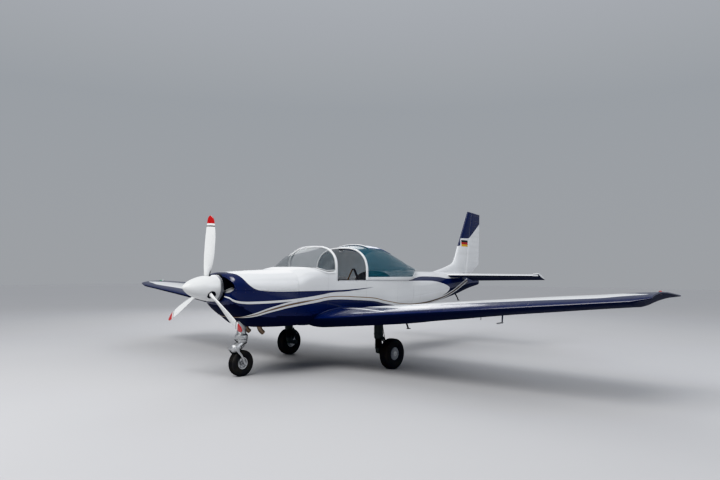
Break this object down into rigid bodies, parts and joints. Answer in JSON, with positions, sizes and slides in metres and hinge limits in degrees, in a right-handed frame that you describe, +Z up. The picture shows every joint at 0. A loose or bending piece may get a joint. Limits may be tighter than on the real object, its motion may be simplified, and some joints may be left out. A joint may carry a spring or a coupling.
{
  "type": "light training aircraft",
  "caption": "Low-wing two-seat training aircraft with a three-blade propeller, fixed nose-wheel gear, moving control surfaces and a sliding clear canopy.",
  "frame": {"origin": "on the ground under the middle of the aircraft's length and span", "axes": "+X to the aircraft's left along the span, +Y aft towards the tail, +Z up"},
  "size_m": [9.75, 7.5, 2.77],
  "materials": {
    "white_paint": "gloss",
    "navy_paint": "gloss",
    "blade_paint": "gloss",
    "engine_iron": "matte",
    "bare_steel": "satin",
    "bare_aluminium": "satin",
    "clear_acrylic": "gloss",
    "panel_black": "matte",
    "seat_fabric": "matte",
    "tyre_rubber": "matte"
  },
  "bodies": {
    "airframe": {"cowl_upper": "white_paint", "cowl_lower": "navy_paint", "engine_block": "engine_iron", "engine_mount": "bare_steel", "firewall": "bare_aluminium", "cabin_tub": "white_paint", "cabin_floor": "bare_aluminium", "rear_bulkhead": "bare_aluminium", "rear_fuselage": "white_paint", "tailplane": "white_paint", "fin": "white_paint", "wing_left": "navy_paint", "wing_right": "navy_paint", "wing_tip_left": "navy_paint", "wing_tip_right": "navy_paint", "windshield": "clear_acrylic", "windshield_arch": "white_paint", "canopy_rail_left": "bare_aluminium", "canopy_rail_right": "bare_aluminium", "instrument_panel": "panel_black", "centre_console": "panel_black", "seat_left": "seat_fabric", "seat_right": "seat_fabric", "control_stick_left": "panel_black", "control_stick_right": "panel_black", "main_leg_left": "bare_steel", "main_leg_right": "bare_steel", "nose_leg": "bare_steel", "exhaust_left": "bare_steel", "exhaust_right": "bare_steel", "tail_bumper": "bare_steel", "entry_step_left": "bare_steel", "entry_step_right": "bare_steel"},
    "propeller": {"spinner": "blade_paint", "spinner_backplate": "bare_aluminium", "propeller_hub": "bare_steel", "blade_1": "blade_paint", "blade_2": "blade_paint", "blade_3": "blade_paint"},
    "nose_steering": {"nose_fork": "bare_steel"},
    "nose_wheel": {"nose_tyre": "tyre_rubber", "nose_rim": "bare_aluminium"},
    "main_wheel_left": {"main_tyre_left": "tyre_rubber", "main_rim_left": "bare_aluminium"},
    "main_wheel_right": {"main_tyre_right": "tyre_rubber", "main_rim_right": "bare_aluminium"},
    "canopy": {"canopy_frame": "white_paint", "canopy_roof": "navy_paint", "canopy_glazing": "clear_acrylic"},
    "flap_left": {"flap_left": "white_paint"},
    "flap_right": {"flap_right": "white_paint"},
    "aileron_left": {"aileron_left": "white_paint"},
    "aileron_right": {"aileron_right": "white_paint"},
    "elevator": {"elevator": "white_paint"},
    "rudder": {"rudder": "white_paint"}
  },
  "joints": [
    {"name": "propeller_spin", "type": "hinge", "parent": "airframe", "child": "propeller", "pos_m": [0, -3.405, 1.2], "axis": [0, 0.9993, -0.0384], "continuous": true},
    {"name": "nose_steer", "type": "hinge", "parent": "airframe", "child": "nose_steering", "pos_m": [0, -2.82, 0.4], "axis": [0, 0, 1], "range_deg": [-25, 25]},
    {"name": "nose_wheel_roll", "type": "hinge", "parent": "nose_steering", "child": "nose_wheel", "pos_m": [0, -2.82, 0.176], "axis": [1, 0, 0], "continuous": true},
    {"name": "main_wheel_left_roll", "type": "hinge", "parent": "airframe", "child": "main_wheel_left", "pos_m": [1.128, -0.92, 0.222], "axis": [1, 0, 0], "continuous": true},
    {"name": "main_wheel_right_roll", "type": "hinge", "parent": "airframe", "child": "main_wheel_right", "pos_m": [-1.128, -0.92, 0.222], "axis": [1, 0, 0], "continuous": true},
    {"name": "canopy_slide", "type": "slide", "parent": "airframe", "child": "canopy", "axis": [0, 1, 0], "range_m": [-0.616, 0]},
    {"name": "flap_left_hinge", "type": "hinge", "parent": "airframe", "child": "flap_left", "pos_m": [0.66, -0.55115, 0.77065], "axis": [0.994, -0.0591, 0.0918], "range_deg": [-35, 0]},
    {"name": "flap_right_hinge", "type": "hinge", "parent": "airframe", "child": "flap_right", "pos_m": [-0.66, -0.55115, 0.77065], "axis": [0.994, 0.0591, -0.0918], "range_deg": [-35, 0]},
    {"name": "aileron_left_hinge", "type": "hinge", "parent": "airframe", "child": "aileron_left", "pos_m": [2.66, -0.67007, 0.95533], "axis": [0.994, -0.0591, 0.0918], "range_deg": [-18, 18]},
    {"name": "aileron_right_hinge", "type": "hinge", "parent": "airframe", "child": "aileron_right", "pos_m": [-2.66, -0.67007, 0.95533], "axis": [0.994, 0.0591, -0.0918], "range_deg": [-18, 18]},
    {"name": "elevator_hinge", "type": "hinge", "parent": "airframe", "child": "elevator", "pos_m": [0, 2.8, 1.384], "axis": [1, 0, 0], "range_deg": [0, 46]},
    {"name": "rudder_hinge", "type": "hinge", "parent": "airframe", "child": "rudder", "pos_m": [0, 3.09, 1.43], "axis": [0, 0.221, 0.9753], "range_deg": [-25, 25]}
  ],
  "couplings": [
    {"joint": "flap_right_hinge", "follows": "flap_left_hinge", "ratio": 1},
    {"joint": "aileron_right_hinge", "follows": "aileron_left_hinge", "ratio": -1}
  ]
}
